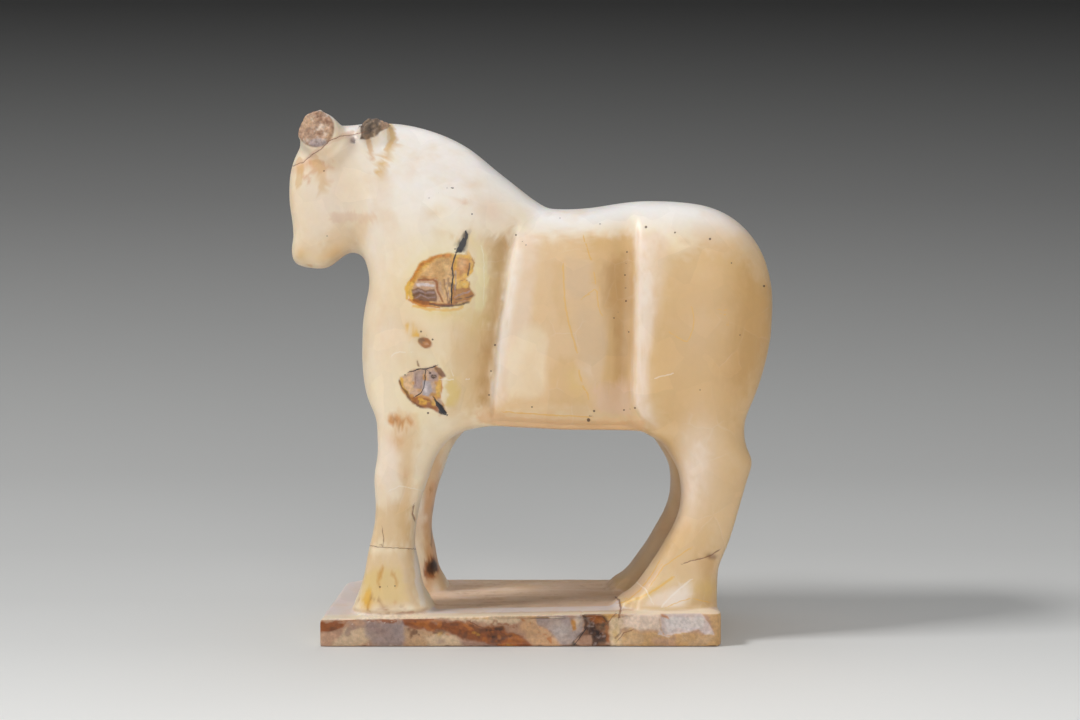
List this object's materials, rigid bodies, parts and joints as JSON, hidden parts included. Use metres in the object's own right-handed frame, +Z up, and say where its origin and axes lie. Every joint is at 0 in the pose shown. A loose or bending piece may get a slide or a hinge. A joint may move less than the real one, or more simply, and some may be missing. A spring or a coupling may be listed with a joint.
{
  "type": "animal figurine on a plinth",
  "caption": "Standing stone bull carved in one with a low rectangular plinth, its horns and ears broken off; a shelf or museum figurine.",
  "frame": {"origin": "middle of the plinth's flat underside, on the surface that the figurine stands on", "axes": "+Z up; -X the way the bull faces, along the plinth's length; +Y across, from the side with the pits in its shoulder (-Y) to the plain side (+Y)"},
  "size_m": [0.2245, 0.0758, 0.2352],
  "materials": {
    "alabaster": "worn polish, honey and cream calcite alabaster with ochre veins and natural pits"
  },
  "bodies": {
    "root": {"bull_on_plinth": "alabaster"}
  },
  "joints": []
}
